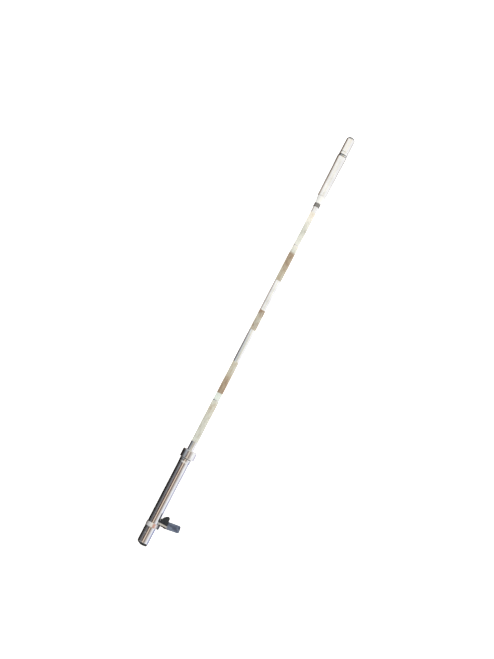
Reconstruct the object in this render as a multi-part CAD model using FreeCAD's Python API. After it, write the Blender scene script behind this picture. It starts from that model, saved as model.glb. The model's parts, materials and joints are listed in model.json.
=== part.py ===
"""A sectional snow probe: a tube handle with a pull-out tensioning knob and a cam lever at its
butt, a threaded lock collar, three shaft sections on spigots, and an enlarged head with a nose.

Frame: +X runs along the probe from the butt to the nose, +Z is up as the probe lies on the
ground, and the lever stands out towards -Y. The origin is the centre of the butt's end face.
Lengths are in millimetres. Every turned piece is centred on the X axis.
"""
import FreeCAD, Part
import math
import os
from FreeCAD import Vector

# ---------------------------------------------------------------- driving dimensions
# Butt and pull knob
PLUG_FACE = 5.0            # thickness of the rubber plug's visible rim
HEEL_START_Y = 1.0         # the plug's end slants away from here towards +Y
HEEL_DEPTH = 4.4           # how far it has slanted at the plug's +Y side
PLUG_STEM_END = 14.0
KNOB_R = 11.0
KNOB_WALL = 1.2
KNOB_END = 38.3
HUB_START = 22.0
KNOB_SCREW_R = 2.5
KNOB_SCREW_HEAD_R = 4.25

# Handle tube
HANDLE_START = 38.6
HANDLE_END = 183.4
HANDLE_R = 10.7
HANDLE_BORE_R = 9.5
FLARE_START = 172.0
FLARE_R = 11.15

# Tension tube, which slides with the knob
TENSION_START = 28.0
TENSION_END = 150.0
TENSION_R = 6.0
TENSION_BORE_R = 5.0
RUNNING_GAP = 0.05         # radial clearance of every running fit
GUIDE_END = 62.0

# Lever band, hinge and lever
BAND_END = 46.6
BAND_R = 11.7
HINGE_Y = -13.6            # the hinge runs along X at this Y, at Z = 0
HINGE_R = 1.3
HUB_R = 2.5
WASHER_X = (46.7, 49.1)
KNUCKLE_X = (49.2, 52.6)
BLOCK_X = (52.8, 60.4)     # the block's barrel on the hinge pin
PIN_END = 62.0
CLIP_X = (60.6, 61.2)
CLIP_R = 2.2
BLADE_BOTTOM = -2.6
BLADE_TOP = -0.8
BLADE_SKEW = math.radians(8.0)
PADDLE_WIDTH = 14.8
PADDLE_SHIFT = 4.2         # from the strip's butt side back to the paddle's
ROOT_X = 46.9              # the blade's butt side beside the hinge
ROOT_END_Y = -21.5         # where it starts to widen into the paddle
TAPER_END = (44.2, -30.0)
PADDLE_END = 41.0          # from the hinge to the paddle's tip
PADDLE_CORNER = 3.6
BLOCK_TOP = 6.0
TUBE_RELIEF_R = 11.15      # room that the block leaves for the handle tube when shut

# Brake shoe under the lever
SHOE_X = (52.0, 59.0)
SHOE_HALF_WIDTH = 2.5
SHOE_OUTER_Y = -10.9
SHOE_GAP = 0.6             # between the shoe's pad and the tension tube, lever open

# Lock collar and what it squeezes
SEAT_X = (152.0, 168.0)
ADAPTER_START = 170.0
THREAD_X = (184.6, 196.5)
THREAD_R = 10.0
SEAL_R = 10.95
COLLAR_X = (184.8, 202.1)
COLLAR_R = 14.4
COLLAR_OFFSET = -0.9       # the collar's grip is eccentric to its thread, along Y
COLLAR_WALL = 196.9        # where the collar's end wall starts
COLLAR_MOUTH_R = 7.0
COLLET_X = (186.4, 196.3)
COLLET_R = 8.5

# Shaft sections: (start, end, outer radius, bore radius)
SECTION_1 = (152.0, 310.75, 6.5, 5.5)
SECTION_2 = (310.85, 657.9, 6.0, 5.0)
SECTION_3 = (658.0, 766.0, 5.5, 4.5)
SPIGOT_FIXED = 36.0        # how far a spigot is bonded into the section below it
SPIGOT_FREE = 41.0         # how far it stands into the section above it
SLEEVE_WALL = 0.15
SLEEVES = {
    "mark_sleeve_1": (220.6, 309.9, SECTION_1[2]),
    "mark_sleeve_2_lower": (311.7, 396.3, SECTION_2[2]),
    "mark_sleeve_2_middle": (467.5, 511.0, SECTION_2[2]),
    "mark_sleeve_2_upper": (578.0, 656.6, SECTION_2[2]),
    "mark_sleeve_3": (659.3, 734.0, SECTION_3[2]),
}

# Head
NECK_RING_X = (746.4, 754.6)
NECK_RING_R = 6.5
CONE_END = 771.0
CONE_R = (6.1, 8.0)
ADAPTER_END = 792.0
HEAD_BORE_R = 7.5
HEAD_END = 866.2
HEAD_R = (8.7, 8.95, 9.6)
HEAD_BELL = (838.0, 861.0)  # where the head starts and ends its bell
SHOULDER_R = 8.3           # radius at the end of the head's round shoulder
SHOULDER_STEPS = 6
SEAL_END = 867.4
NOSE_START = 845.0
NOSE_R = (8.8, 8.6)
NOSE_STRAIGHT = 874.0
NOSE_END = 905.0
NOSE_ROUND = 2.4
CAP_END = 907.0

# Tension cable
CABLE_R = 1.25
CABLE_X = (138.0, 884.0)
CABLE_ROOM_R = 1.9

X_AXIS = Vector(1, 0, 0)


# ---------------------------------------------------------------- helpers
def at(x, y=0.0, z=0.0):
    return Vector(x, y, z)


def rod(x0, x1, radius, y=0.0, z=0.0):
    """A solid cylinder along X."""
    return Part.makeCylinder(radius, x1 - x0, at(x0, y, z), X_AXIS)


def tube(x0, x1, outer, bore):
    return rod(x0, x1, outer).cut(rod(x0, x1, bore))


def turned(profile):
    """A solid turned about the X axis from a closed outline of (x, radius) points."""
    points = [Vector(x, r, 0) for x, r in profile]
    face = Part.Face(Part.makePolygon(points + points[:1]))
    return face.revolve(Vector(0, 0, 0), X_AXIS, 360)


def box(x, y, z):
    """A block from three (low, high) pairs."""
    return Part.makeBox(x[1] - x[0], y[1] - y[0], z[1] - z[0], at(x[0], y[0], z[0]))


def rim_edges(shape, x, radius, tolerance=0.02):
    """The circles of one radius, centred on the X axis, that lie at one x."""
    found = []
    for edge in shape.Edges:
        curve = edge.Curve
        if not isinstance(curve, Part.Circle):
            continue
        centre = curve.Center
        on_axis = abs(centre.y) < tolerance and abs(centre.z) < tolerance
        if on_axis and abs(centre.x - x) < tolerance and abs(curve.Radius - radius) < tolerance:
            found.append(edge)
    return found


def rounded(shape, x, radius, fillet):
    return shape.makeFillet(fillet, rim_edges(shape, x, radius))


def bevelled(shape, x, radius, chamfer):
    return shape.makeChamfer(chamfer, rim_edges(shape, x, radius))


# ---------------------------------------------------------------- butt, knob and tension tube
def make_knob_group():
    bore = KNOB_R - KNOB_WALL
    plug = rod(0, PLUG_FACE, KNOB_R - 0.3).fuse(rod(PLUG_FACE, PLUG_STEM_END, bore))
    plug = rounded(plug.removeSplitter(), 0, KNOB_R - 0.3, 2.6)
    plug = plug.cut(rod(PLUG_FACE + 2.0, PLUG_STEM_END, bore - 2.5))
    side = KNOB_R + 1.0
    depth = HEEL_DEPTH * (side - HEEL_START_Y) / (KNOB_R - HEEL_START_Y)
    corners = [at(0, HEEL_START_Y, -side), at(depth, side, -side), at(-1.0, side, -side), at(-1.0, HEEL_START_Y, -side)]
    heel = Part.Face(Part.makePolygon(corners + corners[:1])).extrude(at(0, 0, 2 * side))
    plug = plug.cut(heel)

    knob = tube(PLUG_FACE, KNOB_END, KNOB_R, bore)
    knob = rounded(knob, PLUG_FACE, KNOB_R, 0.4)
    knob = rounded(knob, KNOB_END, KNOB_R, 0.4)

    hub = rod(HUB_START, KNOB_END - 0.6, bore)
    hub = hub.cut(rod(TENSION_START, KNOB_END, TENSION_R))
    hub = hub.cut(rod(HUB_START, TENSION_START, KNOB_SCREW_R))
    hub = bevelled(hub, HUB_START, bore, 0.6)

    rear_plug_end = TENSION_START + 16.0
    screw_end = TENSION_START + 12.0
    rear_plug = rod(TENSION_START, rear_plug_end, TENSION_BORE_R)
    rear_plug = rear_plug.cut(rod(TENSION_START, screw_end, KNOB_SCREW_R))

    head_start = HUB_START - 5.0
    screw = rod(head_start, HUB_START, KNOB_SCREW_HEAD_R)
    screw = screw.fuse(rod(HUB_START, screw_end, KNOB_SCREW_R)).removeSplitter()
    screw = bevelled(screw, head_start, KNOB_SCREW_HEAD_R, 0.5)
    screw = screw.cut(hexagon(head_start, 2.6, 2.0))

    tension = tube(TENSION_START, TENSION_END, TENSION_R, TENSION_BORE_R)
    tension = bevelled(tension, TENSION_END, TENSION_R, 0.4)

    carrier = tube(CABLE_X[0], TENSION_END - 1.0, TENSION_BORE_R, CABLE_ROOM_R)
    ferrule = rod(CABLE_X[0] - 10.0, CABLE_X[0], 3.0)
    ferrule = rounded(ferrule, CABLE_X[0] - 10.0, 3.0, 0.8)
    return {
        "butt_plug": plug,
        "pull_knob": knob,
        "knob_hub": hub,
        "knob_screw": screw,
        "rear_plug": rear_plug,
        "tension_tube": tension,
        "cable_carrier": carrier,
        "rear_ferrule": ferrule,
    }


def hexagon(x0, depth, inscribed):
    """A hexagonal socket cut from x0 inwards along X."""
    corner = inscribed / math.cos(math.pi / 6)
    points = []
    for step in range(7):
        angle = math.radians(60 * step)
        points.append(at(x0, corner * math.cos(angle), corner * math.sin(angle)))
    return Part.Face(Part.makePolygon(points)).extrude(at(depth))


# ---------------------------------------------------------------- handle tube and guide bush
def shoe_window(clearance):
    """The slot that the brake shoe passes through, out to the tube's -Y side."""
    half = SHOE_HALF_WIDTH + clearance
    return box((SHOE_X[0] - clearance, SHOE_X[1] + clearance), (-12.0, 0.0), (-half, half))


def make_handle_group():
    flare_full = FLARE_START + 7.5
    outline = [
        (HANDLE_START, HANDLE_BORE_R),
        (HANDLE_START, HANDLE_R),
        (FLARE_START, HANDLE_R),
        (FLARE_START + 4.0, HANDLE_R + 0.12),
        (flare_full, FLARE_R),
        (HANDLE_END - 0.4, FLARE_R),
        (HANDLE_END, FLARE_R - 0.4),
        (HANDLE_END, HANDLE_BORE_R),
    ]
    handle = turned(outline).cut(shoe_window(0.0))

    guide = tube(HANDLE_START, GUIDE_END, HANDLE_BORE_R, TENSION_R + RUNNING_GAP)
    guide = guide.cut(shoe_window(0.0))

    room = at(0, HINGE_Y, 0)
    band = rod(HANDLE_START, BAND_END, BAND_R)
    boss = rod(HANDLE_START, BAND_END, HUB_R, room.y)
    web = box((HANDLE_START, BAND_END), (HINGE_Y, -HANDLE_R), (-HUB_R, HUB_R))
    band = band.fuse(boss).fuse(web).removeSplitter()
    band = band.cut(rod(HANDLE_START, BAND_END, HANDLE_R))
    band = band.cut(rod(HANDLE_START, BAND_END, HINGE_R, HINGE_Y))
    middle = (HANDLE_START + BAND_END) / 2
    screw_hole = Part.makeCylinder(1.25, 4.0, at(middle, 0, -BAND_R - 1.0), Vector(0, 0, 1))
    band = band.cut(screw_hole)

    screw_outer = -BAND_R + 0.1
    set_screw = Part.makeCylinder(1.25, 1.5, at(middle, 0, screw_outer), Vector(0, 0, 1))
    set_screw = set_screw.cut(
        Part.makeCylinder(0.6, 0.5, at(middle, 0, screw_outer), Vector(0, 0, 1)))
    set_screw = set_screw.cut(rod(HANDLE_START, BAND_END, HANDLE_R))

    pin = rod(HANDLE_START + 0.2, PIN_END, HINGE_R, HINGE_Y)
    groove = rod(CLIP_X[0], CLIP_X[1], 2 * HINGE_R, HINGE_Y)
    groove = groove.cut(rod(CLIP_X[0], CLIP_X[1], HINGE_R - 0.3, HINGE_Y))
    pin = pin.cut(groove)
    clip = rod(CLIP_X[0], CLIP_X[1], CLIP_R, HINGE_Y)
    clip = clip.cut(rod(CLIP_X[0], CLIP_X[1], HINGE_R - 0.3, HINGE_Y))
    clip = clip.cut(box(CLIP_X, (HINGE_Y - 0.7, HINGE_Y + 0.7), (-CLIP_R - 0.2, 0.0)))
    return {
        "handle_tube": handle,
        "guide_bush": guide,
        "lever_band": band,
        "band_set_screw": set_screw,
        "lever_pin": pin,
        "pin_clip": clip,
    }


# ---------------------------------------------------------------- lever and brake shoe
def make_lever_group():
    hinge_bore = rod(HANDLE_START, PIN_END + 2.0, HINGE_R + RUNNING_GAP, HINGE_Y)

    washer = rod(WASHER_X[0], WASHER_X[1], HUB_R - 0.2, HINGE_Y).cut(hinge_bore)

    knuckle = rod(KNUCKLE_X[0], KNUCKLE_X[1], HUB_R, HINGE_Y)
    blade = knuckle.fuse(blade_plate()).removeSplitter().cut(hinge_bore)

    block = lever_block().cut(hinge_bore).cut(blade)

    rivets = []
    for x, y in ((57.2, -19.6), (58.2, -25.0)):
        shank = Part.makeCylinder(1.2, 4.6, at(x, y, BLADE_BOTTOM), Vector(0, 0, 1))
        head = Part.makeCylinder(2.0, 0.7, at(x, y, BLADE_BOTTOM - 0.7), Vector(0, 0, 1))
        rivet = shank.fuse(head).removeSplitter()
        block = block.cut(shank)
        blade = blade.cut(shank)
        rivets.append(rivet)

    shoe = box((SHOE_X[0] + RUNNING_GAP, SHOE_X[1] - RUNNING_GAP),
               (SHOE_OUTER_Y, -TENSION_R),
               (-SHOE_HALF_WIDTH + RUNNING_GAP, SHOE_HALF_WIDTH - RUNNING_GAP))
    shoe = shoe.cut(rod(SHOE_X[0], SHOE_X[1], TENSION_R + SHOE_GAP))
    return {
        "lever_washer": washer,
        "lever_blade": blade,
        "lever_block": block,
        "block_rivets": Part.makeCompound(rivets),
        "brake_shoe": shoe,
    }


def blade_plate():
    """The flat steel blade: a strip beside the block, and a skewed paddle with a round end."""
    thickness = BLADE_TOP - BLADE_BOTTOM
    start = KNUCKLE_X[0]
    strip = box((start, KNUCKLE_X[1]), (-28.5, HINGE_Y), (BLADE_BOTTOM, BLADE_TOP))

    paddle_start = 3.2
    length = PADDLE_END - paddle_start
    paddle = Part.makeBox(PADDLE_WIDTH, length, thickness)
    ends = [edge for edge in paddle.Edges
            if abs(edge.Vertexes[0].Z - edge.Vertexes[1].Z) > 0.5 * thickness
            and edge.Vertexes[0].Y < 0.01]
    paddle = paddle.makeFillet(PADDLE_CORNER, ends)
    paddle.translate(at(0, -length, BLADE_BOTTOM))
    paddle.rotate(at(0, 0, 0), Vector(0, 0, 1), math.degrees(BLADE_SKEW))
    paddle.translate(at(start - PADDLE_SHIFT, HINGE_Y - paddle_start, 0))
    waist = [
        at(ROOT_X, 0, BLADE_BOTTOM),
        at(ROOT_X, ROOT_END_Y, BLADE_BOTTOM),
        at(TAPER_END[0], TAPER_END[1], BLADE_BOTTOM),
        at(30.0, TAPER_END[1], BLADE_BOTTOM),
        at(30.0, 0, BLADE_BOTTOM),
    ]
    beside = Part.Face(Part.makePolygon(waist + waist[:1])).extrude(at(0, 0, thickness))
    return strip.fuse(paddle).removeSplitter().cut(beside)


def lever_block():
    """The black block: a barrel on the hinge, rising outwards to a thumb ridge with a fin."""
    corners = [
        (BLOCK_X[0], HINGE_Y),
        (BLOCK_X[1] + 3.2, HINGE_Y),
        (68.9, -19.2),
        (70.4, -22.6),
        (69.4, -25.6),
        (66.8, -26.6),
        (62.4, -26.8),
        (58.8, -28.0),
        (BLOCK_X[0], -28.0),
    ]
    points = [at(x, y, BLADE_TOP) for x, y in corners]
    face = Part.Face(Part.makePolygon(points + points[:1]))
    body = face.extrude(Vector(0, 0, BLOCK_TOP - BLADE_TOP))
    upright = []
    for edge in body.Edges:
        low, high = edge.Vertexes[0], edge.Vertexes[-1]
        stands = abs(low.Z - high.Z) > 1.0
        if stands and low.Y < -18.0 and low.X > 60.0:
            upright.append(edge)
    body = body.makeFillet(0.9, upright)

    shut_tube = rod(BLOCK_X[0] - 1.0, 72.0, TUBE_RELIEF_R, HINGE_Y, -HINGE_Y)
    body = body.cut(shut_tube)
    barrel = rod(BLOCK_X[0], BLOCK_X[1], HUB_R, HINGE_Y)
    clip_room = rod(BLOCK_X[1], 72.0, CLIP_R + 0.35, HINGE_Y)
    return body.cut(clip_room).fuse(barrel).removeSplitter()


# ---------------------------------------------------------------- collar, collet and seat
def make_collar_group():
    seat = tube(SEAT_X[0], SEAT_X[1], HANDLE_BORE_R, SECTION_1[2])
    foot = tube(SECTION_1[0], SECTION_1[0] + 10.0, SECTION_1[3], CABLE_ROOM_R)

    shaft_room = SECTION_1[2] + 0.1
    adapter = turned([
        (ADAPTER_START, shaft_room),
        (ADAPTER_START, HANDLE_BORE_R),
        (THREAD_X[0], HANDLE_BORE_R),
        (THREAD_X[0], THREAD_R),
        (THREAD_X[1] - 0.6, THREAD_R),
        (THREAD_X[1], THREAD_R - 0.6),
        (THREAD_X[1], COLLET_R + 0.1),
        (COLLET_X[0], COLLET_R + 0.1),
        (COLLET_X[0], shaft_room),
    ])
    seal = tube(HANDLE_END, THREAD_X[0], SEAL_R, HANDLE_BORE_R)

    collet = turned([
        (COLLET_X[0], SECTION_1[2]),
        (COLLET_X[0], COLLET_R),
        (COLLET_X[1] - 2.5, COLLET_R),
        (COLLET_X[1], COLLET_R - 1.0),
        (COLLET_X[1], SECTION_1[2]),
    ])
    for step in range(3):
        slot = box((COLLET_X[0] + 2.5, COLLET_X[1]), (0.0, COLLET_R + 1.0), (-0.4, 0.4))
        slot.rotate(at(0), X_AXIS, 120 * step)
        collet = collet.cut(slot)

    nut_bore = THREAD_R + RUNNING_GAP
    collar = rod(COLLAR_X[0], COLLAR_X[1], COLLAR_R, COLLAR_OFFSET)
    for end, fillet in ((COLLAR_X[0], 0.8), (COLLAR_X[1], 1.6)):
        rim = [edge for edge in collar.Edges
               if isinstance(edge.Curve, Part.Circle) and abs(edge.Curve.Center.x - end) < 0.01]
        collar = collar.makeFillet(fillet, rim)
    collar = collar.cut(rod(COLLAR_X[0], COLLAR_WALL, nut_bore))
    collar = collar.cut(rod(COLLAR_WALL, COLLAR_X[1], COLLAR_MOUTH_R))
    collar = bevelled(collar, COLLAR_X[1], COLLAR_MOUTH_R, 0.5)
    return {
        "shaft_seat": seat,
        "shaft_foot": foot,
        "collar_adapter": adapter,
        "collar_seal": seal,
        "collet": collet,
        "lock_collar": collar,
    }


# ---------------------------------------------------------------- shaft sections
def spigot(below, above):
    """A spigot bonded into the section below, with a running fit in the section above."""
    joint = below[1]
    free_r = above[3] - RUNNING_GAP
    tip = joint + SPIGOT_FREE
    return turned([
        (joint - SPIGOT_FIXED, CABLE_ROOM_R),
        (joint - SPIGOT_FIXED, below[3]),
        (joint, below[3]),
        (joint, free_r),
        (tip - 1.0, free_r),
        (tip, free_r - 0.8),
        (tip, CABLE_ROOM_R),
    ])


def make_shaft_group():
    nodes = {}
    for name, (start, end, outer, bore) in (
            ("shaft_section_1", SECTION_1),
            ("shaft_section_2", SECTION_2),
            ("shaft_section_3", SECTION_3)):
        nodes[name] = tube(start, end, outer, bore)
    nodes["joint_spigot_1"] = spigot(SECTION_1, SECTION_2)
    nodes["joint_spigot_2"] = spigot(SECTION_2, SECTION_3)
    for name, (start, end, radius) in SLEEVES.items():
        nodes[name] = tube(start, end, radius + SLEEVE_WALL, radius)
    nodes["tension_cable"] = rod(CABLE_X[0], CABLE_X[1], CABLE_R)
    return nodes


# ---------------------------------------------------------------- head and nose
def make_head_group():
    ring = tube(NECK_RING_X[0], NECK_RING_X[1], NECK_RING_R, SECTION_3[2])
    ring = rounded(ring, NECK_RING_X[0], NECK_RING_R, 0.4)
    ring = rounded(ring, NECK_RING_X[1], NECK_RING_R, 0.3)

    adapter = turned([
        (NECK_RING_X[1], SECTION_3[2]),
        (NECK_RING_X[1], CONE_R[0]),
        (CONE_END, CONE_R[1]),
        (CONE_END, HEAD_BORE_R),
        (ADAPTER_END, HEAD_BORE_R),
        (ADAPTER_END, CABLE_ROOM_R),
        (SECTION_3[1], CABLE_ROOM_R),
        (SECTION_3[1], SECTION_3[2]),
    ])

    shoulder = []
    for step in range(SHOULDER_STEPS + 1):
        angle = math.pi / 2 * step / SHOULDER_STEPS
        x = HEAD_BELL[1] + (HEAD_END - HEAD_BELL[1]) * math.sin(angle)
        shoulder.append((x, SHOULDER_R + (HEAD_R[2] - SHOULDER_R) * math.cos(angle)))
    head = turned([
        (CONE_END, HEAD_BORE_R),
        (CONE_END, HEAD_R[0] - 0.4),
        (CONE_END + 0.8, HEAD_R[0]),
        (HEAD_BELL[0], HEAD_R[1]),
        *shoulder,
        (HEAD_END, HEAD_BORE_R),
    ])
    seal = tube(HEAD_END, SEAL_END, SHOULDER_R - 0.1, HEAD_BORE_R)
    seal = rounded(seal, SEAL_END, SHOULDER_R - 0.1, 0.2)

    groove_x = NOSE_STRAIGHT - 1.6
    anchor_r = 3.0
    anchor_end = NOSE_END - 10.0
    nose = turned([
        (NOSE_START, anchor_r),
        (NOSE_START, HEAD_BORE_R),
        (SEAL_END, HEAD_BORE_R),
        (SEAL_END, NOSE_R[0]),
        (groove_x, NOSE_R[0]),
        (groove_x, NOSE_R[0] - 0.45),
        (groove_x + 0.8, NOSE_R[0] - 0.45),
        (groove_x + 0.8, NOSE_R[0]),
        (NOSE_STRAIGHT, NOSE_R[1]),
        (NOSE_END, NOSE_R[1]),
        (NOSE_END, 0),
        (anchor_end, 0),
        (anchor_end, anchor_r),
    ])
    nose = rounded(nose, NOSE_END, NOSE_R[1], NOSE_ROUND)
    cap_r = NOSE_R[1] - NOSE_ROUND + 0.2
    cap = rounded(rod(NOSE_END, CAP_END, cap_r), CAP_END, cap_r, 1.2)

    stop_x = CABLE_X[1]
    anchor = tube(stop_x - 14.0, anchor_end, anchor_r, 2.2)
    collar_step = tube(stop_x - 14.0, stop_x, 2.2, CABLE_ROOM_R)
    anchor = anchor.fuse(collar_step).removeSplitter()
    ferrule = rod(stop_x, anchor_end - 1.0, 2.2)
    return {
        "neck_ring": ring,
        "head_adapter": adapter,
        "head_tube": head,
        "head_seal": seal,
        "nose": nose,
        "nose_cap": cap,
        "cable_anchor": anchor,
        "front_ferrule": ferrule,
    }


def main():
    os.makedirs("parts", exist_ok=True)
    groups = (
        make_knob_group(),
        make_handle_group(),
        make_lever_group(),
        make_collar_group(),
        make_shaft_group(),
        make_head_group(),
    )
    for group in groups:
        for name, shape in group.items():
            shape.exportStep("parts/" + name + ".step")


main()
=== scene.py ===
"""Looks for a sectional snow probe: polished tubes, a cam lever, mark sleeves and a wider head.

Blender units are metres. The probe lies along +X on a pale floor, and its lever stands out
towards -Y. Turned pieces are turned again here about the X axis with finer, softened outlines
that start and end where the frame's nodes do.
"""
import json
import math

import bmesh
import bpy
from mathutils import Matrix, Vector

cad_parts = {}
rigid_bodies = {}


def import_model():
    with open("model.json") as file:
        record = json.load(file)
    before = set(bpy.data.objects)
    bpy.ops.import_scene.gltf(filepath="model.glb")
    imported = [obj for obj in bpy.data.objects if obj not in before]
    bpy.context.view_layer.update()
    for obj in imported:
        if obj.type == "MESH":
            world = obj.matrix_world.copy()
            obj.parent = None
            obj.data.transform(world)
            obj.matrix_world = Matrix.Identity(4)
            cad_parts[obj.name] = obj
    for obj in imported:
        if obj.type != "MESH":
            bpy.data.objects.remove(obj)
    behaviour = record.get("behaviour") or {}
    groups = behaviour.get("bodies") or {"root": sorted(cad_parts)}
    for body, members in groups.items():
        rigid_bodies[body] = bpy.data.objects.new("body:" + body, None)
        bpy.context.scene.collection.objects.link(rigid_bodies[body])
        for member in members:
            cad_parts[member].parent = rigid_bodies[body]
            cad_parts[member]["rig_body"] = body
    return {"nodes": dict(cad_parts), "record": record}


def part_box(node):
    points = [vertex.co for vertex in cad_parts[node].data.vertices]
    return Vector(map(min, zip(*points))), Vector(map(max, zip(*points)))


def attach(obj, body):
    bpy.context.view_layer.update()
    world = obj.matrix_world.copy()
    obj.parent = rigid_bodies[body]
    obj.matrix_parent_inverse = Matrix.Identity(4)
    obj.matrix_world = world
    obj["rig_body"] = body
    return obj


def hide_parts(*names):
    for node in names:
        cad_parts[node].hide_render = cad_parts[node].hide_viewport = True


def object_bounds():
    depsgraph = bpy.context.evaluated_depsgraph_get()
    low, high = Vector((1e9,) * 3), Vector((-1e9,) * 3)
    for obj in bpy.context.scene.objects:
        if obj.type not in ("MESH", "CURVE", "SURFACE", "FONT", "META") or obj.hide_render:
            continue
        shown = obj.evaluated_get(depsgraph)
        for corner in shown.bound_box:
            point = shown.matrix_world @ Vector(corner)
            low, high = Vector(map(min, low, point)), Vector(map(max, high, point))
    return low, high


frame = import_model()
CAD_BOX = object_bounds()

MM = 0.001

# ---------------------------------------------------------------- view and floor
CAMERA_PLACE = (0.1951, -0.1279, 2.1488)
CAMERA_ELEVATION = 82.01     # degrees above the floor, looking down
CAMERA_HEADING = 27.19       # degrees from +X of the way that the camera looks
LENS = 60.09                 # millimetres, on a 36 mm sensor's long side
FLOOR_SIZE = 12.0

# ---------------------------------------------------------------- turned pieces
SEGMENTS = 160
ARC_STEPS = 5
ROUND_STEPS = 14             # along the head's round shoulder
SUPPORT = 0.25               # millimetres from a rounded corner to the ring that holds it

STRANDS = 7.0                # of the wire rope
STRAND_RIDGES = 700          # for each metre of the rope

KNOB_WALL = 1.2
HANDLE_R = 10.7              # before it flares
FLARE_START = 172.0
FLARE_MIDDLE = (176.0, 10.82)
FLARE_END = 179.5
HANDLE_BORE = 9.5
SHAFT_BORES = {"shaft_section_1": 5.5, "shaft_section_2": 5.0, "shaft_section_3": 4.5}
SLEEVE_WALL = 0.15
HEAD_BORE = 7.5
CABLE_ROOM = 1.9
COLLAR_BORE = 10.05
COLLAR_MOUTH_R = 7.0
COLLAR_FRONT_WALL = 5.2
CONE_START_R = 6.1
HEAD_START_R = 8.7
BELL_START = (838.0, 8.95)   # where the head starts to widen faster
SHOULDER_START = 861.0
SHOULDER_END_R = 8.3
NOSE_BORE = 3.0
NOSE_BORE_DEPTH = 10.0       # left solid at the nose's far end
NOSE_GROOVE = (872.4, 873.2)
GROOVE_DEPTH = 0.45
NOSE_TIP_START = 874.0
NOSE_TIP_R = 8.6
CAP_DISH_DEPTH = 0.3
WINDOW_GAP = 0.05            # around the brake shoe
WINDOW_DEPTHS = (-5.0, -12.0)  # the y values that the window's cutter reaches


# ---------------------------------------------------------------- colours and node helpers
def srgb(red, green, blue):
    """A linear colour from display values of 0 to 255."""
    linear = []
    for value in (red, green, blue):
        share = value / 255.0
        linear.append(share / 12.92 if share <= 0.04045 else ((share + 0.055) / 1.055) ** 2.4)
    return (*linear, 1.0)


class Nodes:
    """Short calls that add and link shader nodes in one tree."""

    def __init__(self, tree):
        self.tree = tree
        tree.nodes.clear()

    def add(self, kind, **settings):
        node = self.tree.nodes.new(kind)
        for key, value in settings.items():
            setattr(node, key, value)
        return node

    def link(self, source, target):
        self.tree.links.new(source, target)

    def feed(self, socket, value):
        if isinstance(value, bpy.types.NodeSocket):
            self.link(value, socket)
        else:
            socket.default_value = value

    def math(self, operation, first, second=0.0, third=0.0, clamp=False):
        node = self.add("ShaderNodeMath", operation=operation, use_clamp=clamp)
        for socket, value in zip(node.inputs, (first, second, third)):
            self.feed(socket, value)
        return node.outputs[0]

    def mix(self, share, first, second, blend="MIX"):
        node = self.add("ShaderNodeMix", data_type="RGBA", blend_type=blend)
        self.feed(node.inputs[0], share)
        self.feed(node.inputs[6], first)
        self.feed(node.inputs[7], second)
        return node.outputs[2]

    def ramp(self, value, stops):
        """A colour ramp; a stop is (place, colour) with a grey number or a colour."""
        node = self.add("ShaderNodeValToRGB")
        node.color_ramp.interpolation = "LINEAR"
        elements = node.color_ramp.elements
        while len(elements) > 1:
            elements.remove(elements[-1])
        for index, (place, colour) in enumerate(stops):
            element = elements[0] if index == 0 else elements.new(place)
            element.position = place
            element.color = colour if isinstance(colour, tuple) else (colour, colour, colour, 1.0)
        self.feed(node.inputs[0], value)
        return node.outputs[0]

    def place(self, scale=(1, 1, 1), shift=(0, 0, 0)):
        """The point on the piece in its own metres, scaled."""
        coordinates = self.add("ShaderNodeTexCoord")
        mapping = self.add("ShaderNodeMapping")
        mapping.inputs["Location"].default_value = shift
        mapping.inputs["Scale"].default_value = scale
        self.link(coordinates.outputs["Object"], mapping.inputs["Vector"])
        return mapping.outputs[0]

    def noise(self, scale, detail=4.0, rough=0.55, stretch=(1, 1, 1), shift=(0, 0, 0)):
        node = self.add("ShaderNodeTexNoise")
        node.inputs["Scale"].default_value = scale
        node.inputs["Detail"].default_value = detail
        node.inputs["Roughness"].default_value = rough
        self.link(self.place(stretch, shift), node.inputs["Vector"])
        return node.outputs[0]

    def bump(self, height, distance, strength=1.0, before=None):
        node = self.add("ShaderNodeBump")
        node.inputs["Distance"].default_value = distance
        node.inputs["Strength"].default_value = strength
        self.link(height, node.inputs["Height"])
        if before is not None:
            self.link(before, node.inputs["Normal"])
        return node.outputs[0]

    def surface(self, **inputs):
        """A Principled shader; keyword names are socket names with _ for a space."""
        shader = self.add("ShaderNodeBsdfPrincipled")
        for key, value in inputs.items():
            self.feed(shader.inputs[key.replace("_", " ")], value)
        output = self.add("ShaderNodeOutputMaterial")
        self.link(shader.outputs[0], output.inputs["Surface"])
        return shader


def new_material(name):
    material = bpy.data.materials.new(name)
    material.use_nodes = True
    return material, Nodes(material.node_tree)


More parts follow.
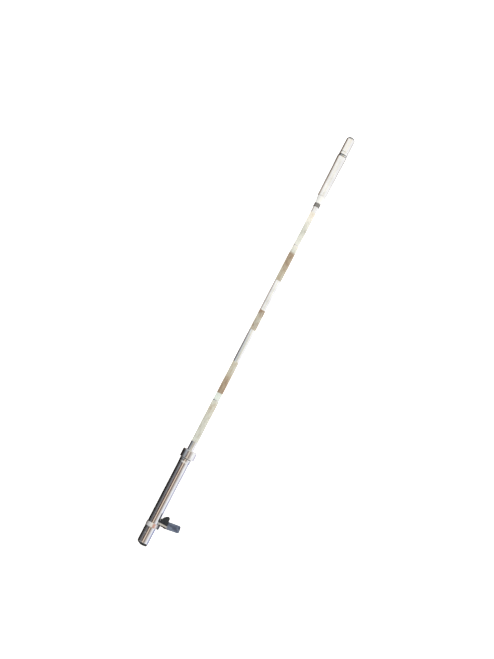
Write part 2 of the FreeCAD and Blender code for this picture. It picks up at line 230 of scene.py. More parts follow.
# ---------------------------------------------------------------- materials
def polished_metal(name, tint, roughness, scratch=1.0, haze=0.10, seed=0.0, metallic=1.0):
    """Polished metal: long draw lines, fine scratches along X, cloudy haze and small dents."""
    material, n = new_material(name)
    shift = (seed, 0, 0)
    draw = n.noise(1.0, 3, 0.5, stretch=(9, 900, 900), shift=shift)
    hair = n.noise(1.0, 2, 0.6, stretch=(60, 5200, 5200), shift=shift)
    cloud = n.noise(38.0, 4, 0.55, shift=shift)
    dents = n.noise(85.0, 1, 0.4, shift=shift)
    scuffs = n.noise(1.0, 5, 0.65, stretch=(700, 160, 160), shift=shift)
    scuffs = n.ramp(scuffs, [(0.60, 0.0), (0.72, 1.0)])
    dull = [0.80 * channel for channel in tint]
    warm = n.mix(n.ramp(cloud, [(0.35, 0.0), (0.75, 1.0)]), (*tint, 1.0), (*dull, 1.0))
    lines = n.math("MULTIPLY", n.ramp(hair, [(0.5, 0.0), (0.8, 1.0)]), 0.25)
    colour = n.mix(lines, warm, (0.45, 0.45, 0.46, 1.0))
    rough = n.math("ADD", n.math("MULTIPLY", cloud, haze), roughness - 0.5 * haze)
    rough = n.math("ADD", rough, n.math("MULTIPLY", scuffs, 0.12))
    rough = n.math("ADD", rough, n.math("MULTIPLY", hair, 0.05), clamp=True)
    normal = n.bump(dents, 0.00035 * scratch, 0.25)
    normal = n.bump(draw, 0.00006 * scratch, 0.35, normal)
    normal = n.bump(hair, 0.000012 * scratch, 0.5, normal)
    n.surface(Base_Color=colour, Metallic=metallic, Roughness=rough, Normal=normal)
    return material


def satin_metal(name, tint, roughness):
    """Turned or blasted metal: fine rings across X and a grainy finish."""
    material, n = new_material(name)
    rings = n.noise(1.0, 3, 0.6, stretch=(2600, 25, 25))
    grain = n.noise(2600.0, 3, 0.6)
    stain = n.noise(140.0, 4, 0.6)
    darker = tuple(0.62 * channel for channel in tint)
    colour = n.mix(n.ramp(stain, [(0.42, 0.0), (0.78, 1.0)]), (*tint, 1.0), (*darker, 1.0))
    rough = n.math("ADD", n.math("MULTIPLY", grain, 0.18), roughness - 0.09)
    normal = n.bump(rings, 0.00003, 0.6)
    normal = n.bump(grain, 0.00003, 0.5, normal)
    n.surface(Base_Color=colour, Metallic=1.0, Roughness=rough, Normal=normal)
    return material


def moulded(name, colour, roughness, worn=None):
    """Rubber or plastic: moulding grain, faint dust and slightly polished high spots."""
    material, n = new_material(name)
    fine = n.noise(2400.0, 3, 0.6)
    broad = n.noise(160.0, 4, 0.6)
    lighter = worn or tuple(min(1.0, 1.9 * channel + 0.012) for channel in colour)
    mixed = n.mix(n.ramp(broad, [(0.45, 0.0), (0.82, 1.0)]), (*colour, 1.0), (*lighter, 1.0))
    rough = n.math("ADD", n.math("MULTIPLY", broad, 0.22), roughness - 0.11, clamp=True)
    normal = n.bump(broad, 0.0002, 0.15)
    normal = n.bump(fine, 0.00004, 0.7, normal)
    n.surface(Base_Color=mixed, Roughness=rough, Normal=normal)
    return material


def mark_sleeve(name, stops, seed):
    """A matte mark sleeve: colours that change along X, with stains and speckles.

    A stop is (x in millimetres, clean colour, stain colour, how much is stained).
    """
    material, n = new_material(name)
    point = n.place()
    split = n.add("ShaderNodeSeparateXYZ")
    n.link(point, split.inputs[0])
    low = stops[0][0]
    high = stops[-1][0]
    shift = (seed, 0, 0)
    ragged = n.noise(420.0, 3, 0.6, shift=shift)
    x = n.math("ADD", split.outputs[0], n.math("MULTIPLY", n.math("SUBTRACT", ragged, 0.5), 2.2 * MM))
    along = n.math("MULTIPLY_ADD", x, 1.0 / ((high - low) * MM), -low / (high - low))
    places = [(stop[0] - low) / (high - low) for stop in stops]
    clean = n.ramp(along, [(place, stop[1]) for place, stop in zip(places, stops)])
    stained = n.ramp(along, [(place, stop[2]) for place, stop in zip(places, stops)])
    amount = n.ramp(along, [(place, stop[3]) for place, stop in zip(places, stops)])
    blotch = n.noise(1.0, 4, 0.6, stretch=(95, 260, 260), shift=shift)
    reach = n.math("ADD", n.math("MULTIPLY", n.math("SUBTRACT", blotch, 0.5), 3.2), amount, clamp=True)
    share = n.math("MULTIPLY", reach, n.ramp(amount, [(0.0, 0.0), (0.25, 1.0)]))
    colour = n.mix(share, clean, stained)
    tone = n.noise(1.0, 3, 0.6, stretch=(240, 420, 420), shift=(seed + 3.0, 0, 0))
    rusty = n.ramp(tone, [(0.56, 0.0), (0.70, 1.0)])
    colour = n.mix(n.math("MULTIPLY", rusty, n.math("MULTIPLY", share, 0.55)), colour, srgb(146, 98, 78))
    speck = n.ramp(n.noise(1900.0, 2, 0.5, shift=shift), [(0.62, 0.0), (0.70, 1.0)])
    colour = n.mix(n.math("MULTIPLY", speck, n.math("MULTIPLY", share, 0.5)), colour, srgb(108, 92, 70))
    weave = n.noise(1.0, 2, 0.5, stretch=(1400, 3200, 3200), shift=shift)
    rough = n.math("ADD", n.math("MULTIPLY", share, 0.25), 0.38)
    normal = n.bump(blotch, 0.0001, 0.3)
    normal = n.bump(weave, 0.00004, 0.5, normal)
    n.surface(Base_Color=colour, Roughness=rough, Normal=normal)
    return material


def band_metal(name):
    """Bright satin strap with painted light: greyer towards +Y as painted shade, a rosy band towards -Y as
    a painted reflection, and a dark blue-grey hinge lug.
    """
    material, n = new_material(name)
    split = n.add("ShaderNodeSeparateXYZ")
    n.link(n.place(), split.inputs[0])
    grain = n.noise(2600.0, 3, 0.6)
    # This noise only makes the edges of the painted shade and the painted reflection ragged.
    stain = n.noise(300.0, 4, 0.6)
    across = n.math("MULTIPLY_ADD", n.math("SUBTRACT", stain, 0.5), 3.0 * MM, split.outputs[1])
    side = n.math("MULTIPLY_ADD", across, -1 / (26 * MM), 0.5)
    # Painted shade greys the strap from about +5 mm out to +13 mm in Y; the rosy stops near -4 to -7 mm in
    # Y are a painted reflection; the last stop is the lug's dark blue-grey.
    colour = n.ramp(side, [
        (0.00, srgb(196, 196, 200)), (0.30, srgb(240, 240, 242)), (0.58, srgb(238, 236, 236)),
        (0.66, srgb(214, 172, 160)), (0.76, srgb(206, 160, 148)), (0.86, srgb(236, 232, 230)),
        (0.95, srgb(226, 224, 226)), (0.985, srgb(92, 94, 108))])
    rough = n.math("MULTIPLY_ADD", grain, 0.18, 0.25)
    normal = n.bump(grain, 0.00003, 0.5)
    n.surface(Base_Color=colour, Metallic=0.85, Roughness=rough, Normal=normal)
    return material


def wound_strands(name):
    """Steel wire rope: strands wound about X show as slanting ridges, with painted shade in the gaps
    between them.
    """
    material, n = new_material(name)
    split = n.add("ShaderNodeSeparateXYZ")
    n.link(n.place(), split.inputs[0])
    around = n.math("ARCTAN2", split.outputs[2], split.outputs[1])
    along = n.math("MULTIPLY", split.outputs[0], 2 * math.pi * STRAND_RIDGES)
    turns = n.math("MULTIPLY_ADD", around, STRANDS, along)
    ridge = n.math("MULTIPLY_ADD", n.math("SINE", turns), 0.5, 0.5)
    # The near-black end of this ramp darkens the gaps between strands as painted shade.
    colour = n.ramp(ridge, [(0.0, 0.06), (0.45, 0.42), (1.0, 0.62)])
    normal = n.bump(ridge, 0.0002, 0.9)
    rough = n.math("MULTIPLY_ADD", ridge, -0.2, 0.5)
    n.surface(Base_Color=colour, Metallic=1.0, Roughness=rough, Normal=normal)
    return material


def blade_paint(name):
    """Blue-grey satin finish over steel with broad lighter streaks that are painted reflections, rubbed
    bare along the strip beside the block, with dark brown painted shade on the strip's butt side."""
    material, n = new_material(name)
    split = n.add("ShaderNodeSeparateXYZ")
    n.link(n.place(), split.inputs[0])
    broad = n.noise(1.0, 4, 0.6, stretch=(110, 60, 110))
    cloud = n.noise(330.0, 5, 0.65)
    # The lighter stop at 0.58 gives broad streaks that are painted reflections.
    paint_and_reflections = n.ramp(broad, [(0.30, srgb(64, 70, 90)), (0.46, srgb(82, 92, 114)), (0.58, srgb(122, 134, 156)),
                           (0.66, srgb(84, 92, 114)), (0.82, srgb(70, 74, 96))])
    paint_and_reflections = n.mix(n.ramp(cloud, [(0.45, 0.0), (0.75, 0.45)]), paint_and_reflections, srgb(78, 84, 108))
    strip = n.ramp(n.math("MULTIPLY", split.outputs[0], 10.0), [(0.523, 1.0), (0.530, 0.0)])
    near = n.ramp(n.math("MULTIPLY", split.outputs[1], -10.0), [(0.262, 1.0), (0.300, 0.0)])
    ragged = n.ramp(cloud, [(0.25, 0.0), (0.40, 1.0)])
    bare = n.math("MULTIPLY", n.math("MULTIPLY", strip, near), ragged)
    # Mask for the dark brown painted shade on the strip's butt side, beside the hinge.
    shaded_cheek = n.ramp(n.math("MULTIPLY", split.outputs[0], 10.0), [(0.488, 1.0), (0.494, 0.0)])
    colour = n.mix(bare, paint_and_reflections, srgb(222, 220, 216))
    # Dark brown painted shade over the butt side of the strip near the hinge.
    colour = n.mix(n.math("MULTIPLY", shaded_cheek, near), colour, srgb(46, 34, 34))
    rough = n.math("MULTIPLY_ADD", cloud, 0.30, 0.22)
    grain = n.noise(1.0, 3, 0.6, stretch=(2600, 160, 2600))
    normal = n.bump(cloud, 0.00008, 0.35)
    normal = n.bump(grain, 0.00002, 0.6, normal)
    metallic = n.math("MULTIPLY_ADD", bare, 0.65, 0.35)
    n.surface(Base_Color=colour, Metallic=metallic, Roughness=rough, Normal=normal)
    return material


CREAM = srgb(208, 210, 201)
MINT = srgb(218, 226, 220)
PALE_KHAKI = srgb(188, 187, 176)
KHAKI = srgb(184, 171, 147)
BROWN = srgb(154, 133, 112)
IVORY = srgb(240, 237, 228)

SLEEVE_STOPS = {
    "mark_sleeve_1": [
        (220, CREAM, PALE_KHAKI, 0.25),
        (262, CREAM, PALE_KHAKI, 0.35),
        (300, srgb(206, 204, 192), KHAKI, 0.35),
        (311, CREAM, PALE_KHAKI, 0.30),
    ],
    "mark_sleeve_2_lower": [
        (311, MINT, PALE_KHAKI, 0.15),
        (326, MINT, PALE_KHAKI, 0.10),
        (327.5, KHAKI, BROWN, 0.80),
        (352, KHAKI, BROWN, 0.70),
        (366, PALE_KHAKI, KHAKI, 0.60),
        (397, CREAM, KHAKI, 0.42),
    ],
    "mark_sleeve_2_middle": [
        (467, PALE_KHAKI, KHAKI, 0.70),
        (478, PALE_KHAKI, BROWN, 0.62),
        (493, PALE_KHAKI, KHAKI, 0.35),
        (503, PALE_KHAKI, BROWN, 0.75),
        (511, KHAKI, BROWN, 0.80),
    ],
    "mark_sleeve_2_upper": [
        (578, PALE_KHAKI, KHAKI, 0.40),
        (596, PALE_KHAKI, KHAKI, 0.60),
        (614, KHAKI, BROWN, 0.62),
        (638, KHAKI, BROWN, 0.72),
        (643, CREAM, PALE_KHAKI, 0.20),
        (657, IVORY, PALE_KHAKI, 0.10),
    ],
    "mark_sleeve_3": [
        (659, IVORY, MINT, 0.25),
        (690, CREAM, PALE_KHAKI, 0.30),
        (712, IVORY, CREAM, 0.25),
        (726, srgb(242, 236, 224), srgb(228, 218, 202), 0.45),
        (734, IVORY, srgb(230, 222, 208), 0.35),
    ],
}

MATERIALS = {
    "polished_steel": polished_metal("polished_steel", (0.90, 0.90, 0.91), 0.07, 0.5, haze=0.06, seed=1.0),
    "polished_collar": polished_metal(
        "polished_collar", (0.91, 0.91, 0.92), 0.05, 0.4, haze=0.04, seed=4.0),
    "polished_shaft": polished_metal("polished_shaft", (0.92, 0.92, 0.93), 0.09, 0.6, haze=0.08, seed=9.0),
    "polished_head": polished_metal("polished_head", (0.94, 0.935, 0.93), 0.08, 0.4, haze=0.06, seed=14.0),
    "satin_band": band_metal("satin_band"),
    # A near-white base with metallic at 0.3 puts the cone's bright reflection into its colour: a painted
    # reflection.
    "pale_cone": polished_metal("pale_cone", (0.98, 0.98, 0.97), 0.20, 0.4, seed=11.0, metallic=0.3),
    "brake_shoe": satin_metal("brake_shoe_steel", (0.10, 0.085, 0.085), 0.40),
    "steel": satin_metal("steel", (0.60, 0.60, 0.61), 0.33),
    "inner_aluminium": satin_metal("inner_aluminium", (0.78, 0.78, 0.79), 0.34),
    "brass": satin_metal("brass", (0.78, 0.60, 0.32), 0.32),
    "blade_grey": blade_paint("blade_grey"),
    "wire_rope": wound_strands("wire_rope"),
    "black_rubber": moulded("black_rubber", (0.012, 0.012, 0.013), 0.62),
    "gloss_black": polished_metal("gloss_black", (0.27, 0.26, 0.25), 0.15, haze=0.04, seed=17.0),
    "block_black": moulded("block_black", (0.008, 0.0115, 0.0155), 0.48, worn=(0.022, 0.028, 0.036)),
    "nylon": moulded("nylon", (0.70, 0.69, 0.62), 0.50, worn=(0.62, 0.58, 0.48)),
    # Dark brown for the washer stands in for the shade around the hinge knuckle: painted shade.
    "washer_painted_shade": moulded("washer_painted_shade", (0.030, 0.016, 0.014), 0.50),
}
for index, (node, stops) in enumerate(SLEEVE_STOPS.items()):
    MATERIALS[node] = mark_sleeve(node, stops, 20.0 + 5.0 * index)


# ---------------------------------------------------------------- surroundings, lights and floor
# Colours around the X axis: 0 and 1 are straight down, 0.25 is +Y, 0.5 is up and 0.75 is -Y
TENT_BUTT = [
    (0.00, srgb(30, 30, 32)), (0.153, srgb(30, 30, 31)), (0.214, srgb(39, 39, 40)),
    (0.305, srgb(72, 72, 74)), (0.378, srgb(112, 109, 111)), (0.412, srgb(104, 97, 99)),
    (0.430, srgb(66, 44, 42)), (0.462, srgb(60, 36, 34)), (0.480, srgb(150, 124, 108)),
    (0.500, srgb(246, 226, 202)), (0.522, srgb(236, 216, 192)), (0.545, srgb(126, 104, 92)),
    (0.575, srgb(108, 90, 82)), (0.600, srgb(160, 146, 140)), (0.640, srgb(206, 198, 194)),
    (0.700, srgb(234, 236, 240)), (0.760, srgb(250, 252, 255)), (0.800, srgb(182, 188, 214)),
    (0.880, srgb(132, 138, 184)), (1.00, srgb(118, 122, 160))]
TENT_MIDDLE = [
    (0.00, srgb(30, 30, 30)), (0.210, srgb(36, 35, 34)), (0.260, srgb(60, 60, 62)),
    (0.305, srgb(98, 98, 101)), (0.350, srgb(140, 144, 148)), (0.395, srgb(156, 160, 166)),
    (0.418, srgb(128, 114, 116)), (0.434, srgb(98, 66, 64)), (0.465, srgb(96, 60, 56)),
    (0.483, srgb(192, 172, 158)), (0.505, srgb(244, 234, 214)), (0.530, srgb(204, 190, 176)),
    (0.550, srgb(130, 112, 106)), (0.580, srgb(136, 120, 112)), (0.610, srgb(188, 178, 174)),
    (0.650, srgb(212, 206, 202)), (0.700, srgb(250, 252, 252)), (0.800, srgb(250, 250, 252)),
    (0.880, srgb(214, 214, 232)), (0.940, srgb(120, 118, 160)), (1.00, srgb(96, 92, 130))]
TENT_SHAFT = [
    (0.00, srgb(60, 46, 48)), (0.220, srgb(70, 58, 60)), (0.290, srgb(112, 108, 112)),
    (0.340, srgb(176, 186, 192)), (0.420, srgb(194, 202, 202)), (0.470, srgb(194, 198, 192)),
    (0.510, srgb(202, 200, 186)), (0.560, srgb(212, 208, 192)), (0.620, srgb(232, 228, 218)),
    (0.700, srgb(250, 250, 248)), (0.900, srgb(252, 252, 254)), (1.00, srgb(220, 220, 236))]
TENT_FAR = [
    (0.00, srgb(144, 126, 116)), (0.200, srgb(170, 156, 146)), (0.270, srgb(206, 202, 194)),
    (0.330, srgb(230, 228, 222)), (0.390, srgb(250, 250, 248)), (0.480, srgb(253, 251, 247)),
    (0.540, srgb(248, 244, 230)), (0.600, srgb(250, 248, 238)), (0.660, srgb(255, 255, 255)),
    (0.900, srgb(255, 255, 255)), (1.00, srgb(236, 234, 232))]
TENT_HEAD = [
    (0.00, srgb(60, 46, 38)), (0.160, srgb(74, 60, 50)), (0.214, srgb(120, 106, 94)),
    (0.260, srgb(190, 180, 164)), (0.300, srgb(238, 234, 226)), (0.360, srgb(253, 252, 250)),
    (0.840, srgb(255, 255, 255)), (0.875, srgb(190, 184, 178)), (0.910, srgb(110, 100, 94)),
    (1.00, srgb(80, 70, 64))]
TENT_TIP = [
    (0.00, srgb(60, 46, 38)), (0.200, srgb(100, 86, 72)), (0.270, srgb(200, 190, 176)),
    (0.330, srgb(252, 250, 244)), (0.460, srgb(253, 248, 236)), (0.500, srgb(251, 240, 215)),
    (0.600, srgb(251, 239, 213)), (0.650, srgb(253, 250, 242)), (0.720, srgb(255, 255, 255)),
    (0.840, srgb(250, 250, 250)), (0.890, srgb(150, 142, 138)), (1.00, srgb(90, 80, 76))]
TENT_DARK = srgb(70, 50, 48)
# The x of a direction where each table starts to take over, and where it has done so
TENT_BANDS = [
    (-0.340, -0.260, TENT_FAR),
    (-0.125, -0.105, TENT_BUTT),
    (-0.062, -0.012, TENT_MIDDLE),
    (0.003, 0.009, TENT_SHAFT),
    (0.100, 0.150, TENT_FAR),
    (0.261, 0.264, TENT_HEAD),
    (0.311, 0.317, TENT_TIP),
    (0.390, 0.430, TENT_DARK),
    (0.480, 0.530, TENT_SHAFT),
]
TENT_STRENGTH = 1.12


def make_surroundings():
    """A soft tent around the X axis that polished pieces mirror: mostly dark on the +Y side and
    bright on the -Y side, and changing along X. The camera itself sees it as plain and pale."""
    world = bpy.data.worlds.new("soft_tent")
    bpy.context.scene.world = world
    world.use_nodes = True
    n = Nodes(world.node_tree)
    direction = n.add("ShaderNodeTexCoord").outputs["Generated"]
    split = n.add("ShaderNodeSeparateXYZ")
    n.link(direction, split.inputs[0])
    sideways = n.math("MULTIPLY", split.outputs[1], -1.0)
    turn = n.math("ARCTAN2", sideways, split.outputs[2])
    around = n.math("MULTIPLY_ADD", turn, 1 / (2 * math.pi), 0.5)
    x = split.outputs[0]
    tent = n.ramp(around, TENT_SHAFT)
    for start, end, stops in TENT_BANDS:
        following = n.ramp(around, stops) if isinstance(stops, list) else stops
        share = n.math("MULTIPLY_ADD", x, 1 / (end - start), -start / (end - start), clamp=True)
        tent = n.mix(share, tent, following)
    glow = n.add("ShaderNodeBackground")
    n.link(tent, glow.inputs["Color"])
    glow.inputs["Strength"].default_value = TENT_STRENGTH
    plain = n.add("ShaderNodeBackground")
    plain.inputs["Color"].default_value = srgb(252, 252, 252)
    seen = n.add("ShaderNodeLightPath").outputs["Is Camera Ray"]
    choose = n.add("ShaderNodeMixShader")
    n.link(seen, choose.inputs[0])
    n.link(glow.outputs[0], choose.inputs[1])
    n.link(plain.outputs[0], choose.inputs[2])
    output = n.add("ShaderNodeOutputWorld")
    n.link(choose.outputs[0], output.inputs["Surface"])


def make_light(name, place, target, size, watts, colour):
    """A soft square lamp that lights matte surfaces but isn't mirrored in polished ones."""
    data = bpy.data.lights.new(name, "AREA")
    data.shape = "SQUARE"
    data.size = size
    data.energy = watts
    data.color = colour
    lamp = bpy.data.objects.new(name, data)
    bpy.context.collection.objects.link(lamp)
    lamp.location = place
    lamp.rotation_euler = (Vector(target) - Vector(place)).to_track_quat("-Z", "Y").to_euler()
    lamp.visible_glossy = False


def make_floor():
    """A plain pale floor at the frame's lowest point."""
    level = CAD_BOX[0][2]
    material, n = new_material("pale_floor")
    mottle = n.noise(2.0, 2, 0.5)
    colour = n.mix(mottle, srgb(247, 247, 247), srgb(252, 252, 252))
    n.surface(Base_Color=colour, Roughness=0.9, Emission_Color=srgb(255, 255, 255), Emission_Strength=0.62)
    mesh = bpy.data.meshes.new("floor")
    half = FLOOR_SIZE / 2
    corners = [(-half, -half, level), (half, -half, level), (half, half, level), (-half, half, level)]
    mesh.from_pydata(corners, [], [(0, 1, 2, 3)])
    mesh.materials.append(material)
    floor = bpy.data.objects.new("floor", mesh)
    bpy.context.collection.objects.link(floor)
    floor.visible_glossy = False


def make_camera():
    data = bpy.data.cameras.new("camera")
    data.lens = LENS
    data.sensor_width = 36.0
    camera = bpy.data.objects.new("camera", data)
    bpy.context.collection.objects.link(camera)
    camera.location = CAMERA_PLACE
    tilt = math.radians(90.0 - CAMERA_ELEVATION)
    camera.rotation_euler = (tilt, 0.0, math.radians(CAMERA_HEADING - 90.0))
    bpy.context.scene.camera = camera


bpy.context.scene.view_settings.view_transform = "Standard"
make_camera()
make_surroundings()
make_light("key", (0.45, -0.3, 1.9), (0.45, 0.0, 0.0), 1.6, 12.0, (1.0, 1.0, 1.0))
make_light("fill", (0.45, 1.3, 1.2), (0.45, 0.0, 0.0), 1.4, 6.0, (1.0, 0.99, 0.97))
make_floor()


# ---------------------------------------------------------------- turned meshes
def soften(outline, radius):
    """Rounds the corners of a closed outline of (x, radius) points, with a ring beside each arc.
    A point's third number is a corner radius of its own."""
    points = [Vector(point[:2]) for point in outline]
    result = []
    for index, corner in enumerate(points):
        before = points[index - 1] - corner
        after = points[(index + 1) % len(points)] - corner
        turn = math.pi - before.angle(after)
        if turn < math.radians(8) or corner.y < 1e-6:
            result.append(corner)
            continue
        own = outline[index][2] if len(outline[index]) > 2 else radius
        reach = min(own * math.tan(turn / 2), 0.45 * before.length, 0.45 * after.length)
        start = corner + before.normalized() * reach
        end = corner + after.normalized() * reach
        if before.length > 6 * SUPPORT:
            result.append(start + before.normalized() * SUPPORT)
        for step in range(ARC_STEPS + 1):
            share = step / ARC_STEPS
            result.append(start.lerp(corner, share).lerp(corner.lerp(end, share), share))
        if after.length > 6 * SUPPORT:
            result.append(end + after.normalized() * SUPPORT)
    return result


def new_piece(name, bm, material):
    bmesh.ops.recalc_face_normals(bm, faces=bm.faces)
    for face in bm.faces:
        face.smooth = True
    mesh = bpy.data.meshes.new(name)
    bm.to_mesh(mesh)
    bm.free()
    mesh.materials.append(material)
    piece = bpy.data.objects.new(name, mesh)
    bpy.context.collection.objects.link(piece)
    return piece


def turned(name, outline, material, softness=0.25, shift=0.0, shift_from=0.0):
    """Turns a closed outline of (x, radius) in millimetres about X. Rings with a radius above
    shift_from are moved along Y by shift, for an outside that is eccentric to its bore."""
    bm = bmesh.new()
    rings = []
    for point in soften(outline, softness):
        if point.y < 1e-6:
            rings.append([bm.verts.new((point.x * MM, 0.0, 0.0))])
            continue
        ring = []
        centre = shift if point.y > shift_from else 0.0
        for step in range(SEGMENTS):
            angle = 2 * math.pi * step / SEGMENTS
            across = (centre + point.y * math.cos(angle)) * MM
            ring.append(bm.verts.new((point.x * MM, across, point.y * math.sin(angle) * MM)))
        rings.append(ring)
    for ring, following in zip(rings, rings[1:] + rings[:1]):
        if len(ring) == 1 and len(following) == 1:
            continue
        for step in range(SEGMENTS):
            after = (step + 1) % SEGMENTS
            corners = [ring[step % len(ring)], ring[after % len(ring)],
                       following[after % len(following)], following[step % len(following)]]
            bm.faces.new(list(dict.fromkeys(corners)))
    return new_piece(name, bm, material)


def ends(node):
    """A node's lowest and highest x and its outer radius about X, in millimetres."""
    low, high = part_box(node)
    return low.x / MM, high.x / MM, (high.z - low.z) / 2 / MM


def stand_for(piece, node):
    """The piece takes a frame node's place on the node's own body."""
    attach(piece, frame["nodes"][node]["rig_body"])
    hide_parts(node)


SLOTS = {part["node"]: part["material_slot"] for part in frame["record"]["subparts"]}


def pipe(x0, x1, outer, bore):
    return [(x0, bore), (x0, outer), (x1, outer), (x1, bore)]


# ---------------------------------------------------------------- butt, knob and handle
def make_butt():
    refined("butt_plug_moulded", "butt_plug", MATERIALS["black_rubber"], 0.5)
    knob_start, knob_end, knob_r = ends("pull_knob")
    outline = pipe(knob_start, knob_end, knob_r, knob_r - KNOB_WALL)
    stand_for(turned("pull_knob_tube", outline, MATERIALS["polished_steel"], 0.4), "pull_knob")


def cut_window(piece, node):
    """Cuts the brake shoe's window, which is the shoe's own outline, out through the -Y wall."""
    low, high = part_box(node)
    gap = WINDOW_GAP * MM
    bm = bmesh.new()
    bmesh.ops.create_cube(bm, size=1.0)
    for vertex in bm.verts:
        vertex.co.x = (high.x + gap) if vertex.co.x > 0 else (low.x - gap)
        vertex.co.y = WINDOW_DEPTHS[0 if vertex.co.y > 0 else 1] * MM
        vertex.co.z = (high.z + gap) if vertex.co.z > 0 else (low.z - gap)
    mesh = bpy.data.meshes.new("window")
    bm.to_mesh(mesh)
    bm.free()
    cutter = bpy.data.objects.new("window", mesh)
    bpy.context.collection.objects.link(cutter)
    cut = piece.modifiers.new("window", "BOOLEAN")
    cut.operation = "DIFFERENCE"
    cut.solver = "EXACT"
    cut.object = cutter
    apply_modifiers(piece)
    bpy.data.objects.remove(cutter)


def apply_modifiers(piece):
    bpy.context.view_layer.update()
    evaluated = piece.evaluated_get(bpy.context.evaluated_depsgraph_get())
    mesh = bpy.data.meshes.new_from_object(evaluated)
    piece.modifiers.clear()
    piece.data = mesh


def make_handle():
    start, end, flare = ends("handle_tube")
    outline = [(start, HANDLE_BORE), (start, HANDLE_R), (FLARE_START, HANDLE_R), FLARE_MIDDLE,
               (FLARE_END, flare), (end, flare), (end, HANDLE_BORE)]
    tube = turned("handle_tube_drawn", outline, MATERIALS["polished_steel"], 0.35)
    cut_window(tube, "brake_shoe")
    stand_for(tube, "handle_tube")
    start, end, outer = ends("collar_seal")
    outline = pipe(start, end, outer, HANDLE_BORE)
    stand_for(turned("collar_seal_ring", outline, MATERIALS["black_rubber"], 0.3), "collar_seal")


def make_collar():
    start, end, outer = ends("lock_collar")
    low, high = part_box("lock_collar")
    wall = end - COLLAR_FRONT_WALL
    outline = [(start, COLLAR_BORE), (start, outer, 0.8), (end, outer, 1.6), (end, COLLAR_MOUTH_R, 0.5),
               (wall, COLLAR_MOUTH_R), (wall, COLLAR_BORE)]
    offset = (low.y + high.y) / 2 / MM
    material = MATERIALS["polished_collar"]
    piece = turned("lock_collar_turned", outline, material, 0.25, offset, COLLAR_BORE + 1.0)
    stand_for(piece, "lock_collar")


# ---------------------------------------------------------------- shaft, sleeves and head
def make_shaft():
    for node, bore in SHAFT_BORES.items():
        start, end, outer = ends(node)
        piece = turned(node + "_drawn", pipe(start, end, outer, bore), MATERIALS["polished_shaft"], 0.25)
        stand_for(piece, node)
    for node in SLEEVE_STOPS:
        start, end, outer = ends(node)
        piece = turned(node + "_wrap", pipe(start, end, outer, outer - SLEEVE_WALL), MATERIALS[node], 0.07)
        stand_for(piece, node)


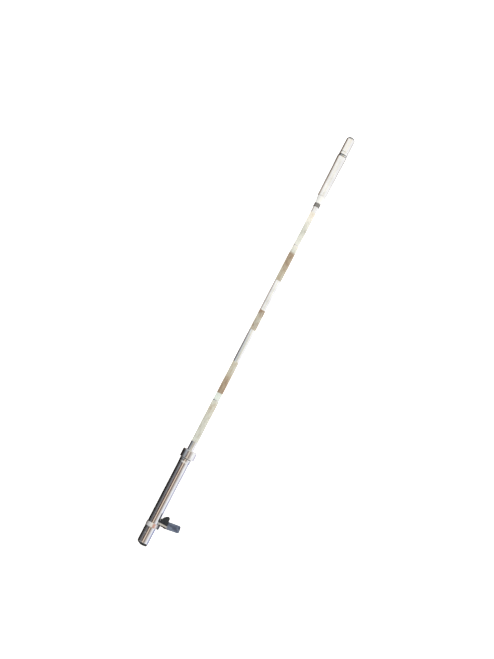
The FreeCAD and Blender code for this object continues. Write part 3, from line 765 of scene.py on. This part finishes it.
def make_head():
    shaft_end, shaft_r = ends("shaft_section_3")[1:]
    start, end, outer = ends("neck_ring")
    outline = pipe(start, end, outer, shaft_r)
    stand_for(turned("neck_ring_moulded", outline, MATERIALS["gloss_black"], 0.5), "neck_ring")

    start, end, outer = ends("head_adapter")
    cone_end, head_end, rim = ends("head_tube")
    outline = [(start, shaft_r), (start, CONE_START_R), (cone_end, outer), (cone_end, HEAD_BORE),
               (end, HEAD_BORE), (end, CABLE_ROOM), (shaft_end, CABLE_ROOM), (shaft_end, shaft_r)]
    # The cone's near-white colour is a painted reflection.
    stand_for(turned("head_adapter_turned", outline, MATERIALS["pale_cone"], 0.2), "head_adapter")

    outline = [(cone_end, HEAD_BORE), (cone_end, HEAD_START_R, 0.6), BELL_START]
    for step in range(ROUND_STEPS + 1):
        angle = math.pi / 2 * step / ROUND_STEPS
        outline.append((SHOULDER_START + (head_end - SHOULDER_START) * math.sin(angle),
                        SHOULDER_END_R + (rim - SHOULDER_END_R) * math.cos(angle)))
    outline.append((head_end, HEAD_BORE))
    stand_for(turned("head_tube_drawn", outline, MATERIALS["polished_head"], 0.3), "head_tube")

    start, end, outer = ends("head_seal")
    outline = pipe(start, end, outer, HEAD_BORE)
    stand_for(turned("head_seal_ring", outline, MATERIALS["black_rubber"], 0.4), "head_seal")

    nose_start, nose_end, nose_r = ends("nose")
    bottom = nose_r - GROOVE_DEPTH
    hollow_end = nose_end - NOSE_BORE_DEPTH
    outline = [(nose_start, NOSE_BORE), (nose_start, HEAD_BORE), (end, HEAD_BORE), (end, nose_r),
               (NOSE_GROOVE[0], nose_r, 0.15), (NOSE_GROOVE[0], bottom, 0.15),
               (NOSE_GROOVE[1], bottom, 0.15), (NOSE_GROOVE[1], nose_r, 0.15),
               (NOSE_TIP_START, NOSE_TIP_R), (nose_end, NOSE_TIP_R, 2.4), (nose_end, 0),
               (hollow_end, 0), (hollow_end, NOSE_BORE)]
    stand_for(turned("nose_turned", outline, MATERIALS["polished_head"], 0.2), "nose")
    start, end, outer = ends("nose_cap")
    dish = end - CAP_DISH_DEPTH
    outline = [(start, 0), (start, outer), (end, outer, 1.2), (end, 3.4, 0.3), (dish, 3.0, 0.3), (dish, 0)]
    stand_for(turned("nose_cap_moulded", outline, MATERIALS["black_rubber"], 0.2), "nose_cap")


# ---------------------------------------------------------------- lever
def refined(name, node, material, width, steps=3):
    """A copy of a frame node with flat faces joined up and its edges rounded."""
    source = frame["nodes"][node]
    bm = bmesh.new()
    bm.from_mesh(source.data)
    bmesh.ops.remove_doubles(bm, verts=bm.verts, dist=0.004 * MM)
    bmesh.ops.dissolve_limit(bm, angle_limit=math.radians(0.6), verts=bm.verts, edges=bm.edges)
    sharp = []
    for edge in bm.edges:
        if len(edge.link_faces) == 2 and edge.calc_face_angle(0.0) > math.radians(28):
            sharp.append(edge)
    bmesh.ops.bevel(bm, geom=sharp, offset=width * MM, segments=steps, profile=0.5, affect="EDGES",
                    clamp_overlap=True, loop_slide=True)
    bmesh.ops.recalc_face_normals(bm, faces=bm.faces)
    piece = new_piece(name, bm, material)
    weighted = piece.modifiers.new("weighted", "WEIGHTED_NORMAL")
    weighted.keep_sharp = True
    apply_modifiers(piece)
    stand_for(piece, node)


def make_lever():
    refined("lever_blade_pressed", "lever_blade", MATERIALS["blade_grey"], 0.30)
    refined("lever_block_moulded", "lever_block", MATERIALS["block_black"], 0.55, 4)
    refined("lever_band_clamped", "lever_band", MATERIALS["satin_band"], 0.25)
    refined("block_rivets_set", "block_rivets", MATERIALS["steel"], 0.2)


make_butt()
make_handle()
make_collar()
make_shaft()
make_head()
make_lever()

# Nodes that keep the frame's own mesh
for node, piece in frame["nodes"].items():
    chosen = MATERIALS.get(node) or MATERIALS[SLOTS[node]]
    # The washer takes the dark brown painted shade.
    if node == "lever_washer":
        chosen = MATERIALS["washer_painted_shade"]
    for holder in piece.material_slots:
        holder.material = chosen
